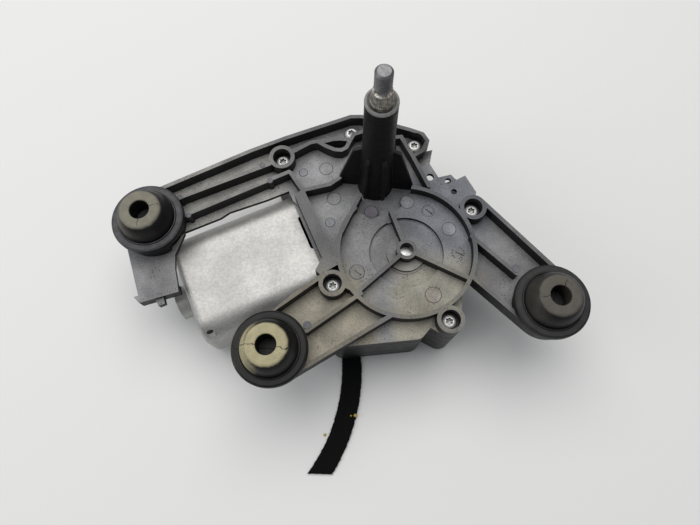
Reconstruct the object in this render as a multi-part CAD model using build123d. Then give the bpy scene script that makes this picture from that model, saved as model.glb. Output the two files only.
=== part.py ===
from build123d import *
import math
import os

os.makedirs("parts", exist_ok=True)

# Rear wiper motor, millimetres. The output spindle stands on +Z through the origin,
# the armature lies along X, and Z = 0 is the face that the motor rests on.

# Heights of the moulded housing plate
rib_top_z = 54.0
web_top_z = 46.0
web_thickness = 2.5
gear_floor_z = 48.0
recess_depth = 1.5
recess_radius = 19.5
hub_disc_radius = 10.5
spoke_angles = (86.0, -50.0, 198.0)
rib_width = 2.2
seal_thickness = 1.0
skirt_height = 4.5
seat_gap = 0.3
fit_gap = 0.05

# Steel can of the motor
can_height = 42.0
can_width = 64.6
can_corner_radius = 13.0
can_wall = 1.8
can_mouth_x = -47.0
can_end_x = -121.5
can_end_rounding = 4.0
tail_boss_radius = 9.5
tail_boss_length = 8.5
tongue_length = 3.4
tongue_width = 27.0
slot_length = 21.0
slot_width = 2.6
slot_offset = 3.8
shaft_radius = 3.0
bearing_radius = 8.0
pad_x = 20.0
core_radius = 17.8
core_slots = 10
air_gap = 0.8
magnet_start_x = -110.0
magnet_end_x = -68.0
magnet_height = 24.0
commutator_x = -56.0
commutator_radius = 8.5
brush_length = 9.0

# Worm drive
hub_x = -2.0
hub_y = -45.0
gear_module = 0.93
wheel_teeth = 59
wheel_width = 8.0
worm_pitch_radius = 4.0
worm_length = 27.0
axle_radius = 3.65
hub_outer_radius = 5.6
rim_outer_radius = 38.0
crank_radius = 13.0
crank_pin_radius = 2.5
crank_angle = 202.7
clip_thickness = 0.8

# Pinion, toothed sector and link on the output spindle
pinion_module = 1.2
pinion_teeth = 16
sector_teeth = 24
sector_width = 7.0
sector_floor_z = 6.2
link_thickness = 1.4
rod_length = 36.0
rod_thickness = 4.0
link_angle = -143.0
sector_pin_radius = 2.5
eye_wall = 3.2
backlash = 0.16
sector_half_angle = 48.0

# Output spindle and its tower
spindle_radius = 5.4
thread_radius = 4.0
thread_length = 14.0
knurl_height = 7.5
spindle_top_z = 148.0
tube_top_z = 126.0
tube_top_radius = 7.3
tube_foot_radius = 8.1
bush_wall = 0.9
bush_length = 16.0
shoulder_z = 62.0
shoulder_radius = 15.5
flare_radius = 21.0
gusset_depth = 4.5
first_gusset_angle = -141.0
seal_height = 2.5
cap_height = 2.4

# Case under the housing plate
case_wall = 2.6
case_floor_z = 2.3
case_floor = 2.5
foot_radius = 6.0
boss_radius = 7.3
screw_radius = 2.0
screw_length = 10.0
screw_head_radius = 3.75
screw_head_height = 2.6
seal_inset = 0.5

# Rubber grommets in the eyes of the three arms
grommet_flange_radius = 19.5
grommet_flange_thickness = 4.5
grommet_waist_radius = 11.5
grommet_foot_radius = 15.2
grommet_foot_thickness = 2.7
grommet_top_z = 70.5
grommet_top_radius = 11.0
grommet_cone_radius = 17.0
grommet_bore_radius = 5.2
grommet_bore_depth = 12.0
eye_radius = 17.6

# Soft strip of felt that sticks out from under the case
strip_thickness = 2.0
strip_width = 11.6
strip_root = (-46.5, -68.0)
strip_middle = (-62.4, -104.1)
strip_tip = (-100.0, -136.5)

# Three-way connector on the side of the case
socket_x = 30.0
socket_y = -19.5
socket_z = 27.0
socket_depth = 19.0
socket_hollow = 14.0
socket_width = 18.0
socket_height = 13.0
socket_wall = 1.6
pin_length = 7.0
pin_seat = 1.5
pin_pitch = 4.6

# Places in plan
grommet_left = (-123.9, 26.2)
grommet_right = (53.4, -101.5)
grommet_lower = (-88.4, -66.0)
screw_north_west = (-43.3, 34.0)
screw_north = (0.5, 35.2)
screw_east = (30.7, 12.8)
screw_south_east = (42.1, -37.4)
screw_south = (2.6, -88.7)
screw_south_west = (-46.0, -46.3)

hub = (hub_x, hub_y)
grommets = {"left": grommet_left, "right": grommet_right, "lower": grommet_lower}
screws = [
    screw_north_west,
    screw_north,
    screw_east,
    screw_south_east,
    screw_south,
    screw_south_west,
]

# Sizes that follow from the ones above
wheel_pitch_radius = gear_module * wheel_teeth / 2
motor_y = hub_y + wheel_pitch_radius + worm_pitch_radius
motor_z = can_height / 2
web_bottom_z = web_top_z - web_thickness
skirt_bottom_z = web_bottom_z - skirt_height
case_top_z = skirt_bottom_z - seal_thickness
gear_floor_bottom_z = gear_floor_z - web_thickness
pinion_pitch_radius = pinion_module * pinion_teeth / 2
sector_pitch_radius = pinion_module * sector_teeth / 2
link_length = pinion_pitch_radius + sector_pitch_radius
bush_radius = spindle_radius + fit_gap + bush_wall
can_half_width = can_width / 2
case_inner_floor_z = case_floor_z + case_floor
wheel_bottom_z = motor_z - wheel_width / 2
wheel_top_z = motor_z + wheel_width / 2


def polar(radius, degrees, centre=(0.0, 0.0)):
    angle = math.radians(degrees)
    return (centre[0] + radius * math.cos(angle), centre[1] + radius * math.sin(angle))


sector_place = polar(link_length, link_angle)
crank_place = polar(crank_radius, crank_angle, hub)


def disc(centre, radius):
    return Pos(centre[0], centre[1]) * Circle(radius)


def hull(*discs):
    return make_hull([edge for shape in discs for edge in shape.edges()])


def plan_face(*corners):
    """A flat face that looks up, whichever way round its corners are given."""
    pairs = zip(corners, corners[1:] + corners[:1])
    twice_area = sum(a[0] * b[1] - b[0] * a[1] for a, b in pairs)
    return Polygon(*(corners if twice_area > 0 else reversed(corners)), align=None)


def strip(start, end, width):
    """A straight band with round ends, from one point in plan to another."""
    run = (end[0] - start[0], end[1] - start[1])
    length = math.hypot(run[0], run[1])
    turn = math.degrees(math.atan2(run[1], run[0]))
    middle = ((start[0] + end[0]) / 2, (start[1] + end[1]) / 2)
    return Pos(middle[0], middle[1]) * Rot(0, 0, turn) * SlotCenterToCenter(length, width)


def chain(points, width):
    return Sketch() + [strip(a, b, width) for a, b in zip(points, points[1:])]


def ring(centre, outer, inner):
    return disc(centre, outer) - disc(centre, inner)


def block(sketch, low, high):
    return extrude(Pos(0, 0, low) * sketch, high - low)


def tube_solid(outer, inner, low, high, centre=(0.0, 0.0)):
    return block(ring(centre, outer, inner), low, high)


def rod_solid(radius, low, high, centre=(0.0, 0.0)):
    return block(disc(centre, radius), low, high)


# Outline of the case, shared by the housing plate's skirt, the seal and the case
def case_outline(inset=0.0):
    boss = boss_radius - inset
    rim = rim_outer_radius - inset
    corner = 4.0 - min(inset, 3.0)
    west_x = can_mouth_x + 4.0
    west = [disc((west_x, 22.0), corner), disc((west_x, -38.0), corner)]
    north = hull(disc(screw_north_west, boss), disc(screw_north, boss), disc(screw_east, boss),
                 disc((23.0, -12.0), corner), west[0])
    middle = hull(disc(hub, rim), west[0], west[1], disc((23.0, -12.0), corner))
    east = hull(disc(screw_south_east, boss), disc(hub, rim - 6.0))
    south = hull(disc(screw_south, boss), disc(hub, rim - 8.0))
    south_west = hull(disc((-52.0, -72.5), corner + 2.0), disc((-15.0, -84.5), corner + 2.0),
                      disc(screw_south_west, boss), disc(hub, rim - 2.0))
    return Sketch() + [north, middle, east, south, south_west]


def can_outline(inset=0.0):
    """The can's section as seen along the armature, centred on it."""
    return RectangleRounded(
        can_width - 2 * inset, can_height - 2 * inset, can_corner_radius - inset
    )


def along_x(sketch, low, high):
    """Extrudes a sketch drawn across the armature: its X is row Y, its Y is row Z."""
    plane = Plane(origin=(low, motor_y, motor_z), x_dir=(0, 1, 0), z_dir=(1, 0, 0))
    return extrude(plane * sketch, high - low)


def x_rod(radius, low, high):
    return along_x(Circle(radius), low, high)


def x_tube(outer, inner, low, high):
    return along_x(Circle(outer) - Circle(inner), low, high)


# The moulded housing plate with its three arms and the spindle tower
def arm_hulls():
    right = hull(disc(grommet_right, eye_radius), disc(screw_south_east, boss_radius),
                 disc((24.5, -73.0), rib_width))
    lower = hull(disc(grommet_lower, eye_radius), disc((-49.5, -41.5), rib_width),
                 disc((-22.0, -73.0), rib_width))
    return right, lower


def plate_outline():
    right, lower = arm_hulls()
    left = hull(disc(grommet_left, eye_radius), disc((-58.0, 42.6), rib_width + 1.0),
                disc(screw_north_west, boss_radius))
    shelf = plan_face((grommet_left[0], 20.0), (-60.0, motor_y + 29.8), (-36.0, motor_y + 29.8),
                    (-36.0, 40.0), (-60.0, 43.0))
    east_side = plan_face((-40.0, 44.5), (3.5, 43.5), (9.5, 41.0), (32.0, 20.0), (25.5, 4.0),
                        (26.5, -18.0), (-20.0, -60.0), (can_mouth_x + 1.6, -45.0),
                        (can_mouth_x + 1.6, 20.0))
    body = case_outline()
    return Sketch() + [left, shelf, east_side, body, right, lower]


def can_window():
    """The opening beside the arms through which the top of the can shows."""
    east_x = can_mouth_x + 1.5
    north_y = motor_y + 29.8
    window = plan_face((-121.0, -4.0), (-121.0, north_y), (east_x, north_y), (east_x, -31.0),
                     (-54.0, -38.5), (-79.0, -47.0), (-121.0, -66.0))
    window = fillet([v for v in window.vertices() if v.X > can_mouth_x and v.Y > 0], 13.0)
    window = fillet([v for v in window.vertices() if v.Y > north_y - 1 and v.X < -100], 12.0)
    return window


def clip_plate():
    outline = plan_face((40.0, 7.0), (34.6, -0.5), (35.4, -10.4), (42.8, -11.7), (43.9, -16.0),
                      (50.0, -15.5), (51.0, -27.5), (44.0, -36.0), (28.0, -30.0), (24.0, -14.0),
                      (26.0, 4.0), (34.0, 8.0))
    holes = Sketch() + [disc((31.0, -8.3), 2.2), disc((39.4, -14.7), 1.8), disc((39.5, -22.1), 1.7)]
    return outline, holes


def holder_tab():
    blade = plan_face((-142.0, 24.0), (-143.3, 8.0), (-144.6, -9.0), (-123.0, -11.5),
                    (-121.5, -2.0), (-119.0, 6.0), (-110.0, 16.0))
    return blade - disc(grommet_left, grommet_foot_radius + 2 * seat_gap)


def plate_ribs():
    right, lower = arm_hulls()
    gear_disc = disc(hub, rim_outer_radius - rib_width / 2)
    arms = Sketch() + [right - offset(right, -rib_width), lower - offset(lower, -rib_width)]
    arms -= gear_disc
    north = chain([(grommet_left[0] + 6.0, grommet_left[1] + eye_radius - 1.2), (-58.0, 44.8),
                   (-36.5, 44.5), (3.2, 42.3), (9.0, 39.8), (31.0, 20.6), (36.6, 15.0),
                   (37.2, 10.0), (32.2, 5.6), (25.2, 4.4)], rib_width)
    rib_a = strip((-104.0, 33.2), (-51.0, 32.6), rib_width)
    rib_b = strip((-106.0, 22.0), (-43.0, 23.6), rib_width)
    pockets = chain([(-36.2, 34.6), (-21.0, 35.6), (-17.0, 31.0), (-11.0, 24.5)], rib_width)
    lens = strip((-20.5, 35.6), (-4.0, 28.8), rib_width)
    divider = chain([(-40.2, 9.8), (-25.0, 7.2), (-18.0, 8.8), (-10.0, 17.0)], rib_width)
    divider_west = strip((-42.4, 22.5), (-40.2, 9.8), rib_width)
    bar = strip((-40.2, 9.8), (-36.2, -26.8), rib_width)
    slant = strip((-36.2, -26.8), (-12.0, -5.5), rib_width)
    east_wall = chain([(24.4, 18.5), (25.2, 4.4), (25.4, -16.0)], rib_width)
    spokes = [strip(polar(hub_outer_radius - 1.0, a, hub), polar(rim_outer_radius - 1.6, a, hub),
                    rib_width) for a in spoke_angles]
    right_mid = strip((33.5, -52.4), (45.4, -80.5), rib_width)
    lower_mid = strip((-68.0, -64.4), (-34.5, -57.4), rib_width)
    rims = [ring(hub, rim_outer_radius, rim_outer_radius - rib_width),
            disc(hub, hub_outer_radius)]
    bosses = [ring(p, boss_radius, boss_radius - rib_width)
              for p in (screw_north_west, screw_south_east, screw_south, screw_south_west)]
    bosses = Sketch() + bosses - disc(hub, rim_outer_radius - rib_width)
    eyes = [ring(p, eye_radius, grommet_waist_radius + seat_gap) for p in grommets.values()]
    parts = [arms, north, rib_a, rib_b, pockets, lens, divider, divider_west, bar, slant,
             east_wall, right_mid, lower_mid, bosses] + spokes + rims + eyes
    return Sketch() + parts


def tower():
    height = shoulder_z - web_bottom_z
    core = Solid.make_cone(shoulder_radius - gusset_depth + 1.5, shoulder_radius - gusset_depth,
                           height, Plane((0, 0, web_bottom_z)))
    brim = rod_solid(shoulder_radius, shoulder_z - rib_width, shoulder_z)
    tube = Solid.make_cone(tube_foot_radius, tube_top_radius, tube_top_z - web_bottom_z,
                           Plane((0, 0, web_bottom_z)))
    gusset = Polygon((0, web_bottom_z), (flare_radius, web_bottom_z),
                     (shoulder_radius, shoulder_z - 0.5), (0, shoulder_z - 0.5), align=None)
    gusset = extrude(Plane.XZ * gusset, rib_width / 2, both=True)
    gussets = [Rot(0, 0, first_gusset_angle + 45.0 * i) * gusset for i in range(8)]
    return core + brim + tube + gussets


def screw_pads():
    return (Sketch() + [disc(p, boss_radius - 1.0) for p in screws]) & case_outline()


def can_room():
    return along_x(can_outline(-seat_gap), can_end_x, can_mouth_x + seat_gap)


def tongue_room():
    wide = tongue_width + 2 * seat_gap
    place = Pos(can_mouth_x + tongue_length / 2, motor_y + slot_offset, can_height - can_wall / 2)
    return place * Box(tongue_length + 2 * seat_gap, wide, can_wall + 2 * seat_gap)


def housing_plate():
    window = can_window()
    clip, clip_holes = clip_plate()
    eye_holes = [disc(p, grommet_waist_radius + seat_gap) for p in grommets.values()]
    screw_holes = [disc(p, screw_radius + seat_gap) for p in screws]
    through = Sketch() + eye_holes + screw_holes + [disc(hub, axle_radius + fit_gap)]
    wells = Sketch() + [disc(p, boss_radius - rib_width) for p in screws]
    web = (plate_outline() + clip) - window - clip_holes - through
    ribs = plate_ribs() - window - through - wells
    skirt = (case_outline() - case_outline(case_wall) + screw_pads()) - through
    floor = ring(hub, rim_outer_radius - rib_width / 2, axle_radius + fit_gap)
    spokes = [strip(hub, polar(30.0, a, hub), rib_width) for a in spoke_angles]
    recess = ring(hub, recess_radius, hub_disc_radius) - (Sketch() + spokes)
    hub_tube = ring(hub, hub_outer_radius, axle_radius + fit_gap)

    plate = block(web, web_bottom_z, web_top_z)
    plate += block(holder_tab(), web_bottom_z - 1.0, web_bottom_z + 1.5)
    plate += holder_end()
    plate += block(floor, web_bottom_z, gear_floor_z)
    plate -= block(recess, gear_floor_z - recess_depth, gear_floor_z + 1.0)
    plate += block(ribs, web_bottom_z + 0.5, rib_top_z)
    plate += block(skirt, skirt_bottom_z, web_bottom_z + 0.5)
    plate += block(hub_tube, wheel_top_z + seat_gap, web_bottom_z + 0.5)
    plate += tower()
    plate -= rod_solid(bush_radius, web_bottom_z - 1.0, tube_top_z + 1.0)
    return plate - can_room() - tongue_room()


def holder_end():
    wall = plan_face((-146.6, -8.6), (-144.8, -13.0), (-123.4, -15.4), (-122.6, -11.0))
    hook = plan_face((-137.0, -12.0), (-136.2, -18.0), (-132.6, -18.0), (-132.0, -12.0))
    wall = block(wall, web_bottom_z - 4.0, web_bottom_z + 3.0)
    return wall + block(hook, web_bottom_z - 3.0, web_bottom_z + 1.0)


# Deep case below the plate, with the bearing seats and the screw bosses
def gear_case():
    cavity = case_outline(case_wall) - screw_pads()
    case = block(case_outline(), case_floor_z, case_top_z)
    case -= block(cavity, case_inner_floor_z, case_top_z + 1.0)
    feet = Sketch() + [disc(p, foot_radius) for p in (screw_south_east, screw_south, screw_north_west)]
    feet += disc((0, 0), 2 * foot_radius)
    case += block(feet & case_outline(), 0, case_floor_z + 1.0)
    case += x_rod(bearing_radius + 3.0, can_mouth_x, can_mouth_x + 12.0)
    case += x_rod(shaft_radius + 4.0, pad_x, pad_x + 6.0)
    pilots = Sketch() + [disc(p, screw_radius + fit_gap) for p in screws]
    case -= block(pilots, web_top_z - screw_length - 1.0, case_top_z + 1.0)
    case -= can_room()
    case -= x_rod(bearing_radius + fit_gap, can_mouth_x - 1.0, can_mouth_x + 12.5)
    case -= x_rod(shaft_radius + fit_gap + 0.2, pad_x - 1.0, pad_x + 4.0)
    return case


def case_seal():
    lip = case_outline(seal_inset) - case_outline(case_wall - seal_inset)
    lip -= Sketch() + [disc(p, screw_radius + seat_gap) for p in screws]
    return block(lip, case_top_z, skirt_bottom_z) - can_room()


def housing_screws():
    shanks = Sketch() + [disc(p, screw_radius) for p in screws]
    heads = Sketch() + [disc(p, screw_head_radius) for p in screws]
    shanks = block(shanks, web_top_z - screw_length, web_top_z + 0.5)
    return shanks + block(heads, web_top_z, web_top_z + screw_head_height)


# The motor
def motor_can():
    can = along_x(can_outline(), can_end_x, can_mouth_x)
    can = fillet(can.faces().sort_by(Axis.X)[0].edges(), can_end_rounding)
    can += x_rod(tail_boss_radius, can_end_x - tail_boss_length, can_end_x + 0.5)
    can -= along_x(can_outline(can_wall), can_end_x + can_wall, can_mouth_x + 0.1)
    can -= x_rod(tail_boss_radius - can_wall, can_end_x - tail_boss_length + can_wall,
                 can_end_x + can_wall + 0.1)
    middle = Pos((2 * can_mouth_x + tongue_length) / 2 - 1.0, motor_y + slot_offset)
    can += block(middle * Rectangle(tongue_length + 2.0, tongue_width), can_height - can_wall, can_height)
    slot = Pos(can_mouth_x, motor_y + slot_offset) * SlotOverall(slot_length, slot_width, rotation=90)
    can -= block(slot, can_height - can_wall - 1.0, can_height + 1.0)
    return can


def field_magnets():
    inside = along_x(can_outline(can_wall + fit_gap), magnet_start_x, magnet_end_x)
    band = along_x(Rectangle(can_width, magnet_height), magnet_start_x, magnet_end_x)
    return (inside & band) - x_rod(core_radius + air_gap, magnet_start_x - 1.0, magnet_end_x + 1.0)


def tail_bush():
    seat = can_end_x - tail_boss_length + can_wall
    return x_tube(tail_boss_radius - can_wall - fit_gap, shaft_radius + fit_gap, seat + 2.0,
                  seat + 2.0 + bush_length / 2)


def front_bearing():
    return x_tube(bearing_radius, shaft_radius + fit_gap, can_mouth_x + 5.0, can_mouth_x + 12.0)


def end_pad():
    return x_rod(shaft_radius + 0.2, pad_x + 2.0, pad_x + 4.0)


def armature_shaft():
    shaft = x_rod(shaft_radius, can_end_x - tail_boss_length + can_wall + seat_gap, pad_x + 1.7)
    root = worm_pitch_radius - 1.2 * gear_module
    return shaft + x_rod(root, hub_x - worm_length / 2, hub_x + worm_length / 2)


def armature_core():
    core = Circle(core_radius) - Circle(shaft_radius)
    slot = Pos(core_radius - 3.5, 0) * Rectangle(9.0, 1.6)
    slots = Sketch() + [Rot(0, 0, 360.0 * i / core_slots) * slot for i in range(core_slots)]
    return along_x(core - slots, magnet_start_x + 2.0, magnet_end_x - 2.0)


def armature_windings():
    low = magnet_start_x + 2.0
    high = magnet_end_x - 2.0
    coil = Circle(core_radius - 2.5) - Circle(shaft_radius)
    return along_x(coil, low - 6.0, low) + along_x(coil, high, high + 5.5)


def commutator():
    ring_face = Circle(commutator_radius) - Circle(shaft_radius)
    return along_x(ring_face, commutator_x - 5.0, commutator_x + 5.0)


def brush_plate():
    blank = along_x(can_outline(can_wall + fit_gap) - Circle(commutator_radius + 1.5),
                    can_mouth_x - 3.4, can_mouth_x - 1.4)
    for side in (1, -1):
        reach = commutator_radius + 1.5
        far = can_half_width - can_wall - 2.0
        middle_y = motor_y + side * (reach + far) / 2
        cell_end_x = can_mouth_x - 3.0
        cell_middle_x = (commutator_x - 3.7 + cell_end_x) / 2
        blank += Pos(cell_middle_x, middle_y, motor_z) * Box(
            cell_end_x - commutator_x + 3.7, far - reach, 7.0
        )
        blank -= Pos(commutator_x, middle_y, motor_z) * Box(5.2, far - reach + 1.0, 5.0)
    return blank


def brushes():
    face = commutator_radius + fit_gap
    both = [Pos(commutator_x, motor_y + side * (face + brush_length / 2), motor_z)
            * Box(5.0, brush_length, 4.8) for side in (1, -1)]
    return Compound(children=[(b - x_rod(face, commutator_x - 5.0, commutator_x + 5.0)) for b in both])


def brush_springs():
    start = commutator_radius + fit_gap + brush_length + 0.1
    length = can_half_width - can_wall - 2.4 - start
    coil = Circle(2.0) - Circle(1.4)
    springs = []
    for side in (1, -1):
        plane = Plane(origin=(commutator_x, motor_y + side * start, motor_z), x_dir=(1, 0, 0),
                      z_dir=(0, side, 0))
        springs.append(extrude(plane * coil, length))
    return Compound(children=springs)


# Worm wheel, its axle and the crank pin
def worm_wheel():
    wheel = tube_solid(wheel_pitch_radius - 1.2 * gear_module, axle_radius + fit_gap,
                       wheel_bottom_z, wheel_top_z, hub)
    return wheel - rod_solid(crank_pin_radius + 0.02, wheel_bottom_z - 1.0, wheel_top_z + 1.0, crank_place)


def crank_pin():
    return rod_solid(crank_pin_radius, sector_floor_z + rod_thickness + seat_gap, wheel_top_z, crank_place)


def wheel_axle():
    return rod_solid(axle_radius, wheel_bottom_z - clip_thickness - 0.2, gear_floor_z - 1.0, hub)


def axle_clip():
    return tube_solid(axle_radius + 2.0, axle_radius, wheel_bottom_z - clip_thickness - 0.1,
                      wheel_bottom_z - 0.1, hub)


# Pinion, toothed sector and the link between them
def involute_point(base_radius, radius):
    """Angle, in radians, by which an involute has turned from its base circle."""
    pressure = math.acos(min(1.0, base_radius / radius))
    return math.tan(pressure) - pressure


def gear_face(module, teeth, slack):
    """A spur gear outline with a tooth centred on +X, thinned by the slack on the pitch circle."""
    pitch = module * teeth / 2
    base = pitch * math.cos(math.radians(20.0))
    tip = pitch + 0.95 * module
    root = pitch - 1.25 * module
    half = math.pi / (2 * teeth) - slack / (2 * pitch) + involute_point(base, pitch)
    start = max(base, root)
    radii = [start + (tip - start) * i / 3 for i in range(4)]
    flank = [(r, half - involute_point(base, r)) for r in radii]
    if root < base:
        flank = [(root, half)] + flank
    points = []
    for tooth in range(teeth):
        middle = 2 * math.pi * tooth / teeth
        points += [(r * math.cos(middle - a), r * math.sin(middle - a)) for r, a in flank]
        points += [(r * math.cos(middle + a), r * math.sin(middle + a)) for r, a in reversed(flank)]
    return Polygon(*points, align=None)


def spindle_pinion():
    gear = Rot(0, 0, link_angle) * gear_face(pinion_module, pinion_teeth, backlash)
    gear -= Circle(spindle_radius)
    return block(gear, sector_floor_z, sector_floor_z + sector_width)


def sector_rod():
    towards = link_angle + 180.0
    gap_turn = towards + 180.0 / sector_teeth
    gear = Pos(*sector_place) * Rot(0, 0, gap_turn) * gear_face(pinion_module, sector_teeth, backlash)
    reach = 2 * sector_pitch_radius
    fan = [polar(reach, towards + a, sector_place) for a in (-sector_half_angle, 0, sector_half_angle)]
    gear &= plan_face(sector_place, *fan)
    eye = disc(sector_place, sector_pin_radius + eye_wall + 1.2)
    arm = strip(sector_place, crank_place, 2 * (crank_pin_radius + eye_wall) - 2.0)
    far_eye = disc(crank_place, crank_pin_radius + eye_wall)
    holes = disc(sector_place, sector_pin_radius + fit_gap) + disc(crank_place, crank_pin_radius + fit_gap)
    body = block(gear + eye - holes, sector_floor_z, sector_floor_z + sector_width)
    return body + block(Sketch() + [arm, far_eye, eye] - holes, sector_floor_z,
                        sector_floor_z + rod_thickness)


def link_plate():
    low = sector_floor_z + sector_width + seat_gap
    plate = hull(disc((0, 0), spindle_radius + eye_wall), disc(sector_place, sector_pin_radius + eye_wall))
    plate = Sketch() + plate - disc((0, 0), spindle_radius + fit_gap) - disc(sector_place, sector_pin_radius)
    return block(plate, low, low + link_thickness)


def sector_pin():
    top = sector_floor_z + sector_width + seat_gap + link_thickness
    pin = rod_solid(sector_pin_radius, sector_floor_z - 0.3, top, sector_place)
    return pin + rod_solid(sector_pin_radius + 1.0, top, top + 0.6, sector_place)


# Output spindle with its bushes, seal and cap
def output_spindle():
    cone_z = tube_top_z + cap_height + 0.5
    thread_z = cone_z + knurl_height
    profile = Polygon((0, case_inner_floor_z + seat_gap), (spindle_radius, case_inner_floor_z + seat_gap),
                      (spindle_radius, cone_z), (thread_radius + 0.45, thread_z - 1.0),
                      (thread_radius - 0.5, thread_z - 0.6), (thread_radius - 0.5, thread_z),
                      (thread_radius, thread_z + 0.5), (thread_radius, spindle_top_z - 1.0),
                      (thread_radius - 1.0, spindle_top_z), (0, spindle_top_z), align=None)
    return revolve(Plane.XZ * profile, Axis.Z)


def lower_bush():
    return tube_solid(bush_radius, spindle_radius + fit_gap, web_bottom_z, web_bottom_z + bush_length)


def upper_bush():
    top = tube_top_z - seal_height
    return tube_solid(bush_radius, spindle_radius + fit_gap, top - bush_length, top)


def spindle_seal():
    return tube_solid(bush_radius, spindle_radius + fit_gap, tube_top_z - seal_height, tube_top_z)


def tube_cap():
    return tube_solid(tube_top_radius + 0.1, spindle_radius + 0.35, tube_top_z, tube_top_z + cap_height)


# Rubber grommets, each a solid of revolution pushed into an eye
def grommet(place):
    eye_bottom = web_bottom_z - seat_gap
    eye_top = rib_top_z + seat_gap
    flange_top = eye_top + grommet_flange_thickness
    floor_z = grommet_top_z - grommet_bore_depth
    foot_z = eye_bottom - grommet_foot_thickness
    profile = Polygon((0, foot_z), (grommet_foot_radius - 1.5, foot_z),
                      (grommet_foot_radius, foot_z + 1.5), (grommet_foot_radius, eye_bottom),
                      (grommet_waist_radius, eye_bottom), (grommet_waist_radius, eye_top),
                      (grommet_flange_radius - 0.6, eye_top), (grommet_flange_radius, eye_top + 0.8),
                      (grommet_flange_radius, flange_top - 1.2), (grommet_flange_radius - 1.2, flange_top),
                      (grommet_cone_radius, flange_top), (grommet_top_radius + 0.8, grommet_top_z - 1.0),
                      (grommet_top_radius - 0.6, grommet_top_z), (grommet_bore_radius, grommet_top_z),
                      (grommet_bore_radius, floor_z), (0, floor_z), align=None)
    return Pos(place[0], place[1]) * revolve(Plane.XZ * profile, Axis.Z)


# Plug-in connector on the far side of the case, under the clip plate
def connector_socket():
    low_x = rim_outer_radius / 2
    mouth_x = socket_x + socket_depth
    place = Pos((low_x + mouth_x) / 2, socket_y, socket_z)
    shell = place * Box(mouth_x - low_x, socket_width, socket_height)
    hollow = Pos(mouth_x - socket_hollow / 2, socket_y, socket_z)
    shell -= hollow * Box(socket_hollow + 0.01, socket_width - 2 * socket_wall,
                          socket_height - 2 * socket_wall)
    shell -= block(case_outline(), case_floor_z, case_top_z)
    shell -= pin_blades(0.02)
    key = Pos(mouth_x - socket_hollow / 2, socket_y, socket_z + socket_height / 2 + 0.6)
    return shell + key * Box(socket_hollow * 0.6, socket_width * 0.3, 1.4)


def pin_blades(slack=0.0):
    root_x = socket_x + socket_depth - socket_hollow - pin_seat
    middle_x = root_x + (pin_length + pin_seat) / 2
    return Compound(children=[Pos(middle_x, socket_y + pin_pitch * (i - 1), socket_z)
                              * Box(pin_length + pin_seat, 2.8 + 2 * slack, 0.8 + 2 * slack)
                              for i in range(3)])


def connector_pins():
    return pin_blades()


# Felt strip stuck under the case, its free end lying on the table
def felt_strip():
    path = ThreePointArc(strip_root, strip_middle, strip_tip)
    band = trace(path, strip_width)
    cut = plan_face((-104.0, -126.6), (-80.0, -137.8), (-95.0, -150.0), (-120.0, -135.0))
    return block(band - cut, 0, strip_thickness)


nodes = {
    "housing_plate": housing_plate,
    "gear_case": gear_case,
    "case_seal": case_seal,
    "housing_screws": housing_screws,
    "motor_can": motor_can,
    "field_magnets": field_magnets,
    "tail_bush": tail_bush,
    "front_bearing": front_bearing,
    "end_pad": end_pad,
    "armature_shaft": armature_shaft,
    "armature_core": armature_core,
    "armature_windings": armature_windings,
    "commutator": commutator,
    "brush_plate": brush_plate,
    "brushes": brushes,
    "brush_springs": brush_springs,
    "worm_wheel": worm_wheel,
    "crank_pin": crank_pin,
    "wheel_axle": wheel_axle,
    "axle_clip": axle_clip,
    "spindle_pinion": spindle_pinion,
    "sector_rod": sector_rod,
    "link_plate": link_plate,
    "sector_pin": sector_pin,
    "output_spindle": output_spindle,
    "lower_bush": lower_bush,
    "upper_bush": upper_bush,
    "spindle_seal": spindle_seal,
    "tube_cap": tube_cap,
    "connector_socket": connector_socket,
    "connector_pins": connector_pins,
    "felt_strip": felt_strip,
}

for name, make in nodes.items():
    export_step(make(), "parts/" + name + ".step")
for side, place in grommets.items():
    export_step(grommet(place), "parts/grommet_" + side + ".step")
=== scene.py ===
import math
import random

import bpy
from mathutils import Matrix, Vector


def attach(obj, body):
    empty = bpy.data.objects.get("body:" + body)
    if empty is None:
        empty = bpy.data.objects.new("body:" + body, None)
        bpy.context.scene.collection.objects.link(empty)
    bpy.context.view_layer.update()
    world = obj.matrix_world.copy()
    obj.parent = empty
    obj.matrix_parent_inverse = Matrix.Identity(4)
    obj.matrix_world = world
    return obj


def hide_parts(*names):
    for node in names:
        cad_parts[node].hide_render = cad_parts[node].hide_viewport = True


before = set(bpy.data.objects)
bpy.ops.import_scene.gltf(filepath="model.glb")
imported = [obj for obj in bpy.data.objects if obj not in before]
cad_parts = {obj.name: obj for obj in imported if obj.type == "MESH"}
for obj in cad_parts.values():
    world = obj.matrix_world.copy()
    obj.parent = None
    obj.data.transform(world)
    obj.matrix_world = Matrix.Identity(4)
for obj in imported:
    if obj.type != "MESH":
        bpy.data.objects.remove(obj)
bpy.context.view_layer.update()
mm = 0.001

# The camera looks down on the motor from the side that the lower arm points to.
# Its place and turn were fitted to the grommets, the plate's levels and the upright spindle.
camera_place = Vector((-65.95, -121.4, 328.1)) * mm
look = Vector((0.1147, 0.2839, -0.9520))
across = Vector((0.9171, -0.3986, -0.0084))
bpy.ops.object.camera_add(location=camera_place)
camera = bpy.context.object
turn = Matrix((across, look.cross(-across), -look)).transposed()
camera.matrix_world = Matrix.Translation(camera_place) @ turn.to_4x4()
camera.data.lens = 27.77
camera.data.sensor_width = 36.0
camera.data.clip_start = 0.01
bpy.context.scene.camera = camera
bpy.context.scene.view_settings.view_transform = "Standard"

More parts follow.
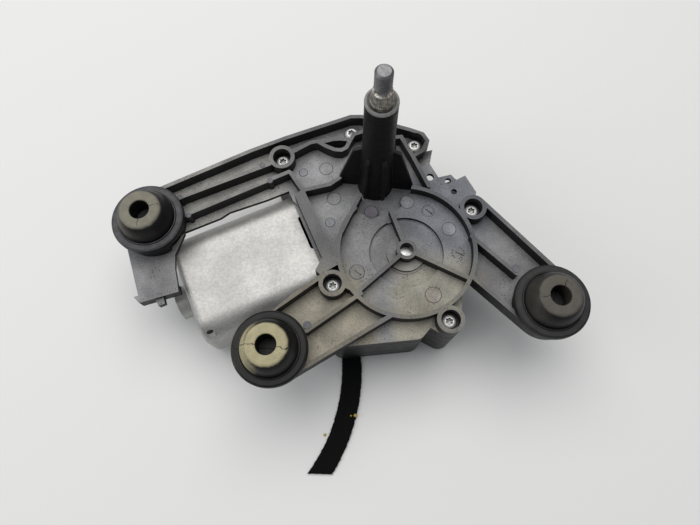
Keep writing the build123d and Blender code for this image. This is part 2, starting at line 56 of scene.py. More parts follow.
# The studio is one pale table top under a wide soft lamp that hangs behind the motor.
# The lamp shines off the level faces of the plate and leaves the walls that face the camera dark.
bpy.ops.mesh.primitive_plane_add(size=6.0)
table = bpy.context.object
table.name = "table_top"
table_paint = bpy.data.materials.new("table_paint")
table_paint.use_nodes = True
table_shader = table_paint.node_tree.nodes["Principled BSDF"]
table_shader.inputs["Base Color"].default_value = (0.835, 0.835, 0.825, 1.0)
table_shader.inputs["Roughness"].default_value = 0.9
table_shader.inputs["Specular IOR Level"].default_value = 0.1
table.data.materials.append(table_paint)


def soft_lamp(name, place, target, size, power, tint):
    bpy.ops.object.light_add(type="AREA", location=place)
    lamp = bpy.context.object
    lamp.name = name
    lamp.data.shape = "RECTANGLE"
    lamp.data.size = size[0]
    lamp.data.size_y = size[1]
    lamp.data.energy = power
    lamp.data.color = tint
    aim = (Vector(target) - Vector(place)).to_track_quat("-Z", "Y")
    lamp.rotation_euler = aim.to_euler()
    return lamp


soft_lamp("window_lamp", (0.10, 0.45, 1.28), (-0.03, 0.0, 0.0), (1.5, 1.2), 15.4, (1.0, 0.99, 0.97))
soft_lamp("left_lamp", (-1.1, 0.25, 0.8), (-0.05, 0.0, 0.0), (0.8, 0.8), 3.2, (0.97, 0.98, 1.0))
world = bpy.data.worlds.new("room")
bpy.context.scene.world = world
world.use_nodes = True
room_light = world.node_tree.nodes["Background"]
room_light.inputs["Color"].default_value = (0.93, 0.96, 1.0, 1.0)
room_light.inputs["Strength"].default_value = 0.27


# The gear case is moulded from the same glass-filled black plastic as the plate above it.
# Its finish is dark with a fine grain, and dust lies on what looks up; its edges are painted lighter, part rubbing wear
# and part painted highlight.
class Maker:
    """Adds and joins the nodes of one material or one group."""

    def __init__(self, tree):
        self.tree = tree

    def add(self, kind, **values):
        node = self.tree.nodes.new(kind)
        for key, value in values.items():
            setattr(node, key, value)
        return node

    def join(self, output, socket):
        self.tree.links.new(output, socket)

    def place(self):
        return self.add("ShaderNodeTexCoord").outputs["Object"]

    def noise(self, vector, scale, detail=3.0, roughness=0.55):
        node = self.add("ShaderNodeTexNoise")
        node.inputs["Scale"].default_value = scale
        node.inputs["Detail"].default_value = detail
        node.inputs["Roughness"].default_value = roughness
        self.join(vector, node.inputs["Vector"])
        return node.outputs["Fac"]

    def spots(self, vector, scale):
        node = self.add("ShaderNodeTexVoronoi")
        node.inputs["Scale"].default_value = scale
        self.join(vector, node.inputs["Vector"])
        return node.outputs["Distance"]

    def step(self, value, low, high, start=0.0, end=1.0):
        node = self.add("ShaderNodeMapRange", interpolation_type="SMOOTHSTEP")
        for name, number in zip(("From Min", "From Max", "To Min", "To Max"), (low, high, start, end)):
            node.inputs[name].default_value = number
        self.join(value, node.inputs["Value"])
        return node.outputs["Result"]

    def sum(self, kind, first, second):
        node = self.add("ShaderNodeMath", operation=kind)
        for socket, value in zip(node.inputs, (first, second)):
            if isinstance(value, (int, float)):
                socket.default_value = value
            else:
                self.join(value, socket)
        return node.outputs["Value"]

    def blend(self, mask, first, second, kind="MIX"):
        node = self.add("ShaderNodeMix", data_type="RGBA", blend_type=kind)
        for socket, value in ((node.inputs[0], mask), (node.inputs[6], first), (node.inputs[7], second)):
            if isinstance(value, (int, float, tuple)):
                socket.default_value = value
            else:
                self.join(value, socket)
        return node.outputs[2]


def effect(name, inputs, outputs):
    tree = bpy.data.node_groups.new(name, "ShaderNodeTree")
    for socket, value in inputs.items():
        kind = "NodeSocketVector" if isinstance(value, tuple) else "NodeSocketFloat"
        made = tree.interface.new_socket(socket, in_out="INPUT", socket_type=kind)
        made.default_value = value
    for socket in outputs:
        tree.interface.new_socket(socket, in_out="OUTPUT", socket_type="NodeSocketFloat")
    maker = Maker(tree)
    return maker, maker.add("NodeGroupInput").outputs, maker.add("NodeGroupOutput").inputs


# Dust gathers in soft drifts on faces that look up
maker, given, result = effect("settled_dust", {"Amount": 0.5, "Drift": 60.0}, ["Mask"])
facing = maker.add("ShaderNodeSeparateXYZ")
maker.join(maker.add("ShaderNodeNewGeometry").outputs["Normal"], facing.inputs["Vector"])
upward = maker.step(facing.outputs["Z"], 0.35, 0.95)
cloud = maker.add("ShaderNodeTexNoise")
cloud.inputs["Detail"].default_value = 6.0
maker.join(maker.place(), cloud.inputs["Vector"])
maker.join(given["Drift"], cloud.inputs["Scale"])
drift = maker.step(cloud.outputs["Fac"], 0.25, 0.75, 0.7, 1.2)
maker.join(maker.sum("MULTIPLY", maker.sum("MULTIPLY", upward, drift), given["Amount"]), result["Mask"])

# Moulded grain is a fine mottle with small dark pits
maker, given, result = effect("moulded_grain", {"Scale": 1.0}, ["Mottle", "Pits"])
place = maker.add("ShaderNodeVectorMath", operation="SCALE")
maker.join(maker.place(), place.inputs["Vector"])
maker.join(given["Scale"], place.inputs["Scale"])
mottle = maker.noise(place.outputs["Vector"], 1200.0, 4.0, 0.7)
patches = maker.noise(place.outputs["Vector"], 160.0, 3.0)
pits = maker.step(maker.spots(place.outputs["Vector"], 620.0), 0.10, 0.34)
sparse = maker.step(maker.noise(place.outputs["Vector"], 110.0, 2.0), 0.46, 0.62)
maker.join(maker.step(maker.sum("ADD", mottle, maker.sum("MULTIPLY", patches, 0.5)), 0.5, 1.0), result["Mottle"])
maker.join(maker.sum("MULTIPLY", maker.sum("SUBTRACT", 1.0, pits), sparse), result["Pits"])

# Edges are painted lighter, part rubbing wear and part painted highlight, where a rounded copy of the surface leaves
# the flat one
maker, given, result = effect("edge_wear_and_highlight", {"Width": 0.0005}, ["Mask"])
rounded = maker.add("ShaderNodeBevel", samples=4)
maker.join(given["Width"], rounded.inputs["Radius"])
agree = maker.add("ShaderNodeVectorMath", operation="DOT_PRODUCT")
maker.join(rounded.outputs["Normal"], agree.inputs[0])
maker.join(maker.add("ShaderNodeNewGeometry").outputs["Normal"], agree.inputs[1])
maker.join(maker.step(agree.outputs["Value"], 0.98, 0.80), result["Mask"])

# A stain, or a patch of painted shade, fades out with a ragged edge from one place on the piece
maker, given, result = effect("near_place", {"Place": (0.0, 0.0, 0.0), "Reach": 0.03}, ["Mask"])
apart = maker.add("ShaderNodeVectorMath", operation="DISTANCE")
maker.join(maker.place(), apart.inputs[0])
maker.join(given["Place"], apart.inputs[1])
share = maker.sum("DIVIDE", apart.outputs["Value"], given["Reach"])
wander = maker.sum("MULTIPLY", maker.noise(maker.place(), 60.0, 5.0), 0.8)
maker.join(maker.step(maker.sum("ADD", share, wander), 1.45, 0.95), result["Mask"])


def place_group(maker, name, **values):
    node = maker.add("ShaderNodeGroup", node_tree=bpy.data.node_groups[name])
    for key, value in values.items():
        node.inputs[key].default_value = value
    return node.outputs


def new_material(name):
    material = bpy.data.materials.new(name)
    material.use_nodes = True
    maker = Maker(material.node_tree)
    shader = material.node_tree.nodes["Principled BSDF"]
    return material, maker, shader.inputs


def relief(maker, height, strength, distance):
    bump = maker.add("ShaderNodeBump")
    bump.inputs["Strength"].default_value = strength
    bump.inputs["Distance"].default_value = distance
    maker.join(height, bump.inputs["Height"])
    return bump.outputs["Normal"]


def moulded_plastic(name, dark, pale, dust_colour, dust, stains_and_shade=()):
    """Glass-filled plastic: dark walls, greyer level faces, a film of dust and edges painted lighter, part rubbing wear
    and part painted highlight.
    """
    material, maker, sockets = new_material(name)
    grain = place_group(maker, "moulded_grain")
    dust_and_sheen_film = place_group(maker, "settled_dust", Amount=dust)
    edge_lightening = place_group(maker, "edge_wear_and_highlight")
    skin = maker.blend(grain["Mottle"], dark, pale)
    tone = dust_colour
    # Each entry tints the dust towards a real stain or towards a patch of painted shade.
    for spot, reach, tint in stains_and_shade:
        near = place_group(maker, "near_place", Place=tuple(c * mm for c in spot), Reach=reach * mm)
        tone = maker.blend(near["Mask"], tone, tint)
    thin = maker.blend(grain["Mottle"], (0.68, 0.68, 0.69, 1.0), (1.2, 1.2, 1.2, 1.0))
    dusty = maker.blend(1.0, tone, thin, "MULTIPLY")
    height = maker.add("ShaderNodeSeparateXYZ")
    maker.join(maker.place(), height.inputs["Vector"])
    tops = maker.step(height.outputs["Z"], 0.0505, 0.0535, 1.0, 0.55)
    bare = maker.sum("SUBTRACT", 1.0, maker.sum("MULTIPLY", grain["Pits"], 0.7))
    cover = maker.sum("MULTIPLY", maker.sum("MULTIPLY", dust_and_sheen_film["Mask"], tops), bare)
    colour = maker.blend(cover, skin, dusty)
    # Edges are lightened towards the dust colour: part rubbing wear, part painted highlight.
    colour = maker.blend(maker.sum("MULTIPLY", edge_lightening["Mask"], 0.30), colour, dust_colour)
    maker.join(colour, sockets["Base Color"])
    maker.join(maker.step(grain["Mottle"], 0.0, 1.0, 0.42, 0.6), sockets["Roughness"])
    sockets["Specular IOR Level"].default_value = 0.3
    maker.join(relief(maker, grain["Mottle"], 0.4, 0.00010), sockets["Normal"])
    return material


def dress(node, material):
    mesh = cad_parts[node].data
    mesh.materials.clear()
    mesh.materials.append(material)


case_plastic = moulded_plastic(
    "case_plastic", (0.006, 0.006, 0.0065, 1.0), (0.012, 0.012, 0.013, 1.0), (0.22, 0.215, 0.20, 1.0), 0.45
)
dress("gear_case", case_plastic)

# The thin seal between plate and case is squeezed flat, and only its edge shows.
# It is black rubber, a little glossier than the mouldings.
def rubber(name, colour, dusty, dust, shine):
    material, maker, sockets = new_material(name)
    grain = place_group(maker, "moulded_grain", Scale=1.6)
    dust_and_sheen_film = place_group(maker, "settled_dust", Amount=dust, Drift=120.0)
    skin = maker.blend(grain["Mottle"], colour, tuple(1.5 * c for c in colour[:3]) + (1.0,))
    maker.join(maker.blend(dust_and_sheen_film["Mask"], skin, dusty), sockets["Base Color"])
    maker.join(maker.step(grain["Mottle"], 0.0, 1.0, shine, shine + 0.15), sockets["Roughness"])
    maker.join(relief(maker, grain["Mottle"], 0.2, 0.0001), sockets["Normal"])
    return material


seal_rubber = rubber("seal_rubber", (0.012, 0.012, 0.012, 1.0), (0.16, 0.155, 0.15, 1.0), 0.2, 0.45)
dress("case_seal", seal_rubber)

# Bushes of sintered bronze carry the spindle in the tower and the armature's tail in the can.
# They are pressed from powder, so their faces are even and slightly porous.
def worked_metal(name, colour, rough, scratches=220.0, stretch=(1.0, 1.0, 6.0)):
    material, maker, sockets = new_material(name)
    drawn = maker.add("ShaderNodeMapping")
    drawn.inputs["Scale"].default_value = stretch
    maker.join(maker.place(), drawn.inputs["Vector"])
    marks = maker.noise(drawn.outputs["Vector"], scratches, 5.0, 0.7)
    darker = tuple(0.7 * c for c in colour[:3]) + (1.0,)
    maker.join(maker.blend(maker.step(marks, 0.3, 0.7), darker, colour), sockets["Base Color"])
    maker.join(maker.step(marks, 0.3, 0.7, rough + 0.12, rough), sockets["Roughness"])
    sockets["Metallic"].default_value = 1.0
    maker.join(relief(maker, marks, 0.1, 0.00005), sockets["Normal"])
    return material


sintered_bronze = worked_metal("sintered_bronze", (0.50, 0.33, 0.16, 1.0), 0.42, 900.0, (1.0, 1.0, 1.0))
for node in ("tail_bush", "lower_bush", "upper_bush"):
    dress(node, sintered_bronze)
dress("spindle_seal", seal_rubber)

# Two ferrite magnets line the can about the armature.
# They are ground to their inner radius and clipped against the can's wall.
dress("field_magnets", worked_metal("ground_ferrite", (0.10, 0.10, 0.105, 1.0), 0.5))

# The armature is a stack of steel plates on a ground shaft, wound with lacquered copper wire.
# Its commutator has copper bars, and the worm is rolled into the end of the shaft.
turned_steel = worked_metal("turned_steel", (0.52, 0.52, 0.53, 1.0), 0.28)
dress("armature_shaft", turned_steel)
dress("armature_core", worked_metal("core_plates", (0.28, 0.28, 0.30, 1.0), 0.4, 60.0, (30.0, 1.0, 1.0)))
dress("armature_windings", worked_metal("wound_copper", (0.52, 0.20, 0.08, 1.0), 0.30, 300.0, (5.0, 1.0, 1.0)))
dress("commutator", worked_metal("copper_bars", (0.62, 0.32, 0.18, 1.0), 0.32, 200.0, (1.0, 6.0, 6.0)))

# The brush holder is a punched board with two carbon brushes, each pushed in by a coil spring.
# The board has the brown sheen of pressed paper, and the carbon is matt black.
def solid_plastic(name, colour, rough):
    material, maker, sockets = new_material(name)
    grain = place_group(maker, "moulded_grain", Scale=1.3)
    darker = tuple(0.85 * c for c in colour[:3]) + (1.0,)
    maker.join(maker.blend(grain["Mottle"], darker, colour), sockets["Base Color"])
    maker.join(maker.step(grain["Mottle"], 0.0, 1.0, rough, rough + 0.1), sockets["Roughness"])
    maker.join(relief(maker, grain["Mottle"], 0.1, 0.00005), sockets["Normal"])
    return material


dress("brush_plate", solid_plastic("brown_board", (0.12, 0.06, 0.03, 1.0), 0.5))
dress("brushes", solid_plastic("brush_carbon", (0.03, 0.03, 0.03, 1.0), 0.45))
dress("brush_springs", turned_steel)

# The worm wheel is milky acetal on a steel axle, held by a spring clip.
# Its steel crank pin stands in the wheel, and the armature runs in a ball bearing against a pad.
dress("worm_wheel", solid_plastic("wheel_acetal", (0.72, 0.68, 0.56, 1.0), 0.35))
dress("end_pad", solid_plastic("pad_acetal", (0.70, 0.68, 0.60, 1.0), 0.35))
for node in ("wheel_axle", "axle_clip", "crank_pin", "front_bearing"):
    dress(node, turned_steel)

# The rod's toothed sector turns the pinion of the spindle, and the link keeps them in mesh.
# All are fine-blanked steel with a grey oiled skin.
oiled_steel = worked_metal("oiled_steel", (0.34, 0.34, 0.35, 1.0), 0.36, 320.0, (1.0, 1.0, 1.0))
for node in ("link_plate", "sector_pin", "sector_rod", "spindle_pinion"):
    dress(node, oiled_steel)

# The plug-in connector is a plain socket with three tinned blades on the far side of the case.
# It is moulded with the case and shows no cord.
dress("connector_socket", case_plastic)
dress("connector_pins", worked_metal("tinned_brass", (0.62, 0.55, 0.40, 1.0), 0.3))

# The housing plate carries the motor: three ribbed arms, the gear floor and the spindle tower.
# It is one injection moulding; here its tower, pockets and flat land get their full shape.
web_top = 46.0
gear_floor = 48.0
rib_top = 54.0
rib_width = 2.2
hub = (-2.0, -45.0)
plate_plastic = moulded_plastic(
    "plate_plastic", (0.0050, 0.0050, 0.0055, 1.0), (0.011, 0.011, 0.0125, 1.0), (0.27, 0.27, 0.275, 1.0), 0.92,
    stains_and_shade=[
        ((-85.0, 28.0, 46.0), 52.0, (0.48, 0.47, 0.44, 1.0)),
        ((-24.0, 10.0, 46.0), 30.0, (0.35, 0.35, 0.355, 1.0)),
        ((30.0, -30.0, 48.0), 34.0, (0.22, 0.225, 0.25, 1.0)),
        ((-62.0, -62.0, 46.0), 42.0, (0.41, 0.375, 0.29, 1.0)),
        ((2.0, -74.0, 48.0), 30.0, (0.38, 0.36, 0.30, 1.0)),
        ((-15.0, -84.0, 46.0), 16.0, (0.38, 0.355, 0.285, 1.0)),
        # The six near-black patches about the screws are painted shade for the shadowed wells round the screw bosses.
        ((-43.3, 34.0, 46.0), 9.0, (0.06, 0.06, 0.063, 1.0)),
        ((-46.0, -46.3, 46.0), 9.0, (0.06, 0.06, 0.063, 1.0)),
        ((42.1, -37.4, 46.0), 9.0, (0.06, 0.06, 0.063, 1.0)),
        ((2.6, -88.7, 46.0), 9.0, (0.07, 0.068, 0.062, 1.0)),
        ((32.0, 10.0, 46.0), 11.0, (0.08, 0.08, 0.083, 1.0)),
        ((2.0, 33.0, 46.0), 8.0, (0.10, 0.10, 0.103, 1.0)),
    ],
)


def deselect():
    if bpy.context.object and bpy.context.object.mode != "OBJECT":
        bpy.ops.object.mode_set(mode="OBJECT")
    bpy.ops.object.select_all(action="DESELECT")


def choose(piece):
    deselect()
    piece.select_set(True)
    bpy.context.view_layer.objects.active = piece


def pick(piece, test, kind="VERT"):
    """Selects the vertices or faces for which test is true, in edit mode."""
    bpy.ops.object.mode_set(mode="OBJECT")
    mesh = piece.data
    for group in (mesh.vertices, mesh.edges, mesh.polygons):
        for item in group:
            item.select = False
    items = mesh.polygons if kind == "FACE" else mesh.vertices
    for item in items:
        item.select = test(item.center if kind == "FACE" else item.co)
    bpy.ops.object.mode_set(mode="EDIT")
    bpy.ops.mesh.select_mode(type=kind)


def outward(piece, merge=0.0):
    choose(piece)
    bpy.ops.object.mode_set(mode="EDIT")
    bpy.ops.mesh.select_all(action="SELECT")
    if merge:
        bpy.ops.mesh.remove_doubles(threshold=merge)
    bpy.ops.mesh.normals_make_consistent(inside=False)
    bpy.ops.object.mode_set(mode="OBJECT")


def turned(name, centre, rings, corners=64):
    """A solid turned about an upright axis: a disc drawn up through rings of radius and height, in mm."""
    deselect()
    radius, height = rings[0]
    at = (centre[0] * mm, centre[1] * mm)
    bpy.ops.mesh.primitive_circle_add(
        vertices=corners, radius=radius * mm, fill_type="NGON", location=(at[0], at[1], height * mm)
    )
    made = bpy.context.object
    made.name = name
    bpy.ops.object.transform_apply(location=True)
    bpy.ops.object.mode_set(mode="EDIT")
    bpy.ops.mesh.select_mode(type="FACE")
    bpy.ops.mesh.select_all(action="SELECT")
    for wider, higher in rings[1:]:
        bpy.ops.mesh.extrude_region_move(TRANSFORM_OT_translate={"value": (0, 0, (higher - height) * mm)})
        bpy.ops.transform.resize(
            value=(wider / radius, wider / radius, 1.0), center_override=(at[0], at[1], higher * mm)
        )
        radius, height = wider, higher
    outward(made)
    bpy.ops.object.shade_smooth_by_angle(angle=math.radians(32.0))
    return made


def rib(start, end, low=44.0, high=rib_top, width=rib_width):
    """A straight rib with round ends: a post of which one half is drawn out to the far end."""
    deselect()
    middle = (start[0] * mm, start[1] * mm, (low + high) / 2 * mm)
    bpy.ops.mesh.primitive_cylinder_add(
        vertices=24, radius=width / 2 * mm, depth=(high - low) * mm, location=middle,
        rotation=(0, 0, math.atan2(end[1] - start[1], end[0] - start[0]) + math.radians(7.5)),
    )
    made = bpy.context.object
    bpy.ops.object.transform_apply(location=True, rotation=True)
    run = Vector((end[0] - start[0], end[1] - start[1], 0.0)) * mm
    pick(made, lambda p: (p - Vector(middle)).dot(run) > 0)
    bpy.ops.transform.translate(value=run)
    deselect()
    return made


def slab(corners, low, high):
    """A flat form with straight sides, drawn up from its outline."""
    deselect()
    mesh = bpy.data.meshes.new("slab")
    mesh.from_pydata([(x * mm, y * mm, low * mm) for x, y in corners], [], [list(range(len(corners)))])
    made = bpy.data.objects.new("slab", mesh)
    bpy.context.collection.objects.link(made)
    choose(made)
    bpy.ops.object.mode_set(mode="EDIT")
    bpy.ops.mesh.select_mode(type="FACE")
    bpy.ops.mesh.select_all(action="SELECT")
    bpy.ops.mesh.extrude_region_move(TRANSFORM_OT_translate={"value": (0, 0, (high - low) * mm)})
    outward(made)
    return made


def united(name, parts):
    deselect()
    for part in parts:
        part.select_set(True)
    bpy.context.view_layer.objects.active = parts[0]
    bpy.ops.object.join()
    parts[0].name = name
    parts[0].data.name = name
    return parts[0]


def cut(piece, cutters):
    for cutter in cutters:
        choose(piece)
        knife = piece.modifiers.new("cut", "BOOLEAN")
        knife.operation = "DIFFERENCE"
        knife.solver = "EXACT"
        knife.object = cutter
        bpy.ops.object.modifier_apply(modifier="cut")
        bpy.data.objects.remove(cutter)


def merged_copy(node, name):
    piece = bpy.data.objects.new(name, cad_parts[node].data.copy())
    bpy.context.collection.objects.link(piece)
    choose(piece)
    bpy.ops.object.mode_set(mode="EDIT")
    bpy.ops.mesh.select_all(action="SELECT")
    bpy.ops.mesh.remove_doubles(threshold=0.000001)
    bpy.ops.mesh.dissolve_limited(angle_limit=math.radians(0.4))
    bpy.ops.object.mode_set(mode="OBJECT")
    bpy.ops.mesh.customdata_custom_splitnormals_clear()
    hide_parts(node)
    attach(piece, "housing")
    return piece


above_web = web_top + 0.02
moulding = merged_copy("housing_plate", "housing_moulding")
cut(moulding, [
    turned("knife", (0.0, 0.0), [(20.6, above_web), (20.6, 140.0)], 72),
    slab([(-33.5, 23.0), (-3.0, 23.0), (-3.0, 38.2), (-33.5, 38.2)], above_web, 60.0),
    slab([(-41.6, 8.4), (-34.4, 8.4), (-34.4, -25.4), (-41.6, -25.4)], above_web, 60.0),
])


def arc_groove(inner, outer, start, end, low=46.0):
    """The cutter of a groove in the gear floor, an arc about the hub between two angles in degrees."""
    turns = [math.radians(start + (end - start) * i / 32) for i in range(33)]
    rim = [(hub[0] + outer * math.cos(a), hub[1] + outer * math.sin(a)) for a in turns]
    rim += [(hub[0] + inner * math.cos(a), hub[1] + inner * math.sin(a)) for a in reversed(turns)]
    return slab(rim, low, 50.0)


cut(moulding, [
    arc_groove(19.3, 20.7, -42.0, 81.0),
    arc_groove(19.3, 20.2, 95.0, 172.0),
    arc_groove(11.7, 12.9, -172.0, -58.0),
])


def gusset(angle, foot, shoulder):
    """A fin that leans in from the web to the tower's shoulder."""
    fin = slab([(0.0, -rib_width / 2), (foot, -rib_width / 2), (foot, rib_width / 2), (0.0, rib_width / 2)],
               45.0, 84.0)
    pick(fin, lambda p: p.z > 83.9 * mm and p.x > 0.1 * mm)
    bpy.ops.transform.translate(value=((shoulder - foot) * mm, 0, 0))
    pick(fin, lambda p: p.z > 83.9 * mm, "FACE")
    bpy.ops.mesh.extrude_region_move(TRANSFORM_OT_translate={"value": (0, 0, 3.3 * mm)})
    pick(fin, lambda p: p.z > 87.2 * mm and p.x > 0.1 * mm)
    bpy.ops.transform.translate(value=((7.7 - shoulder) * mm, 0, 0))
    choose(fin)
    fin.data.transform(Matrix.Rotation(math.radians(angle), 4, "Z"))
    soften = fin.modifiers.new("soften", "BEVEL")
    soften.width = 0.35 * mm
    soften.segments = 2
    soften.limit_method = "ANGLE"
    bpy.ops.object.modifier_apply(modifier="soften")
    return fin


fins = [gusset(a, 22.6, 12.4) for a in (150.0, 90.0, 30.0, -30.0)]
fins += [gusset(a, 10.8, 10.0) for a in (-90.0, -150.0)]
core = turned("core", (0.0, 0.0), [(10.0, 45.0), (7.9, 84.0)], 72)
tube = turned("tube", (0.0, 0.0), [(8.6, 45.0), (7.7, 124.6), (7.75, 125.4), (7.45, 126.0), (6.45, 126.0),
                                   (6.4, 124.0)], 72)
tower = united("spindle_tower", [core, tube] + fins)


def rib_chain(points, drop=0.0):
    """Ribs end to end, each second one a hair lower, so that no two tops lie in one plane."""
    return [rib(a, b, high=rib_top - drop - 0.03 * (i % 2)) for i, (a, b) in enumerate(zip(points, points[1:]))]


arch = [(-36.2, 34.6), (-24.7, 35.9), (-20.9, 35.1), (-17.7, 30.4), (-13.8, 26.1), (-10.5, 24.3), (-7.2, 24.7),
        (-3.8, 27.8), (0.1, 30.9), (8.0, 30.2), (16.0, 24.6), (22.0, 19.2), (24.6, 18.4)]
lens = [(-20.9, 35.1), (-16.0, 33.2), (-12.1, 32.7), (-7.6, 31.0), (-3.9, 28.8)]
divider = [(-40.2, 9.8), (-25.0, 7.2), (-18.0, 8.8), (-10.0, 17.0)]
ribs = rib_chain(arch, 0.02) + rib_chain(lens, 0.08) + rib_chain(divider, 0.10)
ribs += rib_chain([(-36.2, -26.8), (-12.0, -5.5)], 0.08)
land = slab([(-45.4, 9.0), (-39.4, 10.6), (-38.9, -20.0), (-35.6, -30.0), (-39.0, -38.0), (-50.0, -39.5),
             (-51.5, -36.2), (-45.4, -30.8)], 44.0, rib_top + 0.03)
more_ribs = united("pocket_ribs", [land] + ribs)
# The tower gets a darker, less dusty and less glossy copy of the plate's plastic: painted shade for the shadowed tube.
tower_shaded_plastic = moulded_plastic(
    "tower_shaded_plastic", (0.0032, 0.0032, 0.0034, 1.0), (0.006, 0.006, 0.0064, 1.0), (0.15, 0.15, 0.152, 1.0), 0.5
)
tower_shaded_plastic.node_tree.nodes["Principled BSDF"].inputs["Specular IOR Level"].default_value = 0.16
for piece, plastic in ((moulding, plate_plastic), (tower, tower_shaded_plastic), (more_ribs, plate_plastic)):
    piece.data.materials.clear()
    piece.data.materials.append(plastic)
    choose(piece)
    bpy.ops.object.shade_smooth_by_angle(angle=math.radians(30.0))
    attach(piece, "housing")

# Round ejector marks, two date dials and small pads were left by the mould on the level faces.
# The dials carry plain ticks and an arrow, with no letters; ticks, arrows and thin rings round the ejector marks are
# raised in a near-black finish as painted shade for recessed strokes and grooves.
def ejector_mark(place, radius, level, name):
    low, edge = level - 0.4, level + 0.10
    mark = turned(name, place, [(radius, low), (radius, level + 0.02), (radius - 0.12, edge),
                                (radius - 0.34, edge), (radius - 0.46, level + 0.03)], 48)
    return mark


def tick(place, angle, reach, length, width, level):
    """A raised dash that points at the middle of its dial, narrower at its top."""
    deselect()
    bpy.ops.mesh.primitive_cube_add(
        size=1.0, location=((place[0] + reach) * mm, place[1] * mm, level * mm),
        scale=(length * mm, width * mm, 0.5 * mm)
    )
    dash = bpy.context.object
    bpy.ops.object.transform_apply(location=True, scale=True)
    middle = ((place[0] + reach) * mm, place[1] * mm, level * mm)
    pick(dash, lambda p: p.z > level * mm, "FACE")
    bpy.ops.transform.resize(value=(0.8, 0.6, 1.0), center_override=middle)
    deselect()
    centre = Vector((place[0], place[1], 0.0)) * mm
    turn_about = Matrix.Translation(centre) @ Matrix.Rotation(angle, 4, "Z") @ Matrix.Translation(-centre)
    dash.data.transform(turn_about)
    return dash


def arrow(place, angle, level, length=4.4):
    """A thin bar with a small point at its end."""
    bar = tick(place, angle, 0.0, length, 0.55, level)
    deselect()
    bpy.ops.mesh.primitive_cylinder_add(
        vertices=3, radius=0.85 * mm, depth=0.5 * mm, rotation=(0, 0, math.radians(-90.0)),
        location=((place[0] + length / 2) * mm, place[1] * mm, level * mm),
    )
    point = bpy.context.object
    bpy.ops.object.transform_apply(location=True, rotation=True)
    pick(point, lambda p: p.z > level * mm, "FACE")
    bpy.ops.transform.resize(value=(0.8, 0.8, 1.0))
    deselect()
    centre = Vector((place[0], place[1], 0.0)) * mm
    turn_about = Matrix.Translation(centre) @ Matrix.Rotation(angle, 4, "Z") @ Matrix.Translation(-centre)
    point.data.transform(turn_about)
    return [bar, point]


def ring_of_ticks(place, reach, count, level, length=1.1, skip=()):
    return [tick(place, 2 * math.pi * i / count, reach, length, 0.5, level) for i in range(count) if i not in skip]


marks, outlines = [], []
for number, (place, radius, level) in enumerate([
    ((-21.8, 20.8), 3.75, web_top), ((-25.0, 1.5), 3.75, web_top), ((11.6, -17.9), 3.75, gear_floor),
    ((25.9, -42.0), 3.75, gear_floor), ((-9.5, -15.3), 3.75, gear_floor), ((1.3, -72.4), 4.2, gear_floor),
    ((-34.9, 23.8), 2.3, web_top), ((-32.7, -11.1), 2.6, web_top), ((-30.9, -44.4), 4.0, gear_floor),
]):
    marks.append(ejector_mark(place, radius, level, "ejector_mark_%d" % number))
    outlines.append(turned("outline", place, [(radius + 0.28, level - 0.4), (radius + 0.28, level + 0.015)], 48))
mark_plastic = moulded_plastic(
    "mark_plastic", (0.007, 0.007, 0.0075, 1.0), (0.014, 0.014, 0.015, 1.0), (0.29, 0.295, 0.32, 1.0), 0.95,
    stains_and_shade=[((1.3, -72.4, 48.0), 12.0, (0.40, 0.36, 0.31, 1.0)), ((-9.5, -15.3, 48.0), 9.0, (0.20, 0.19, 0.22, 1.0)),
            ((-30.9, -44.4, 48.0), 10.0, (0.30, 0.29, 0.27, 1.0)),
            ((-25.0, 8.0, 46.0), 24.0, (0.36, 0.36, 0.365, 1.0))],
)
# A near-black finish that stands in as painted shade in recesses.
painted_shade_dark = solid_plastic("mark_shade", (0.012, 0.012, 0.012, 1.0), 0.6)
dials = ring_of_ticks((20.0, -27.6), 3.3, 16, gear_floor) + arrow((20.0, -27.6), math.radians(-62.0), gear_floor)
dials += ring_of_ticks((24.1, -56.6), 3.3, 14, gear_floor, skip=(3, 4, 9))
dials += arrow((24.1, -56.6), math.radians(-50.0), gear_floor)
dials += arrow((-30.9, -44.4), math.radians(-62.0), gear_floor, 4.6)
dials += ring_of_ticks((1.3, -72.4), 5.0, 16, gear_floor, 0.7, skip=(0, 3, 5, 6, 7, 8, 9, 10, 12, 13, 14, 15))
dial_marks = united("dial_marks", dials + outlines)
dial_marks.data.materials.clear()
dial_marks.data.materials.append(painted_shade_dark)
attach(dial_marks, "housing")
pad_places = [((-55.4, 33.5), 1.7), ((-54.8, 22.7), 1.7), ((-104.6, 33.2), 1.6), ((-103.5, 21.1), 1.6),
              ((46.3, -78.1), 2.2), ((-66.6, -61.9), 2.2)]
pads = [turned("pad", place, [(radius, 45.0), (radius, 54.05), (radius - 0.15, 54.2), (radius - 0.35, 54.2),
                              (radius - 0.45, 54.1)], 32) for place, radius in pad_places]
mould_marks = united("mould_marks", marks + pads)
mould_marks.data.materials.clear()
mould_marks.data.materials.append(mark_plastic)
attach(mould_marks, "housing")

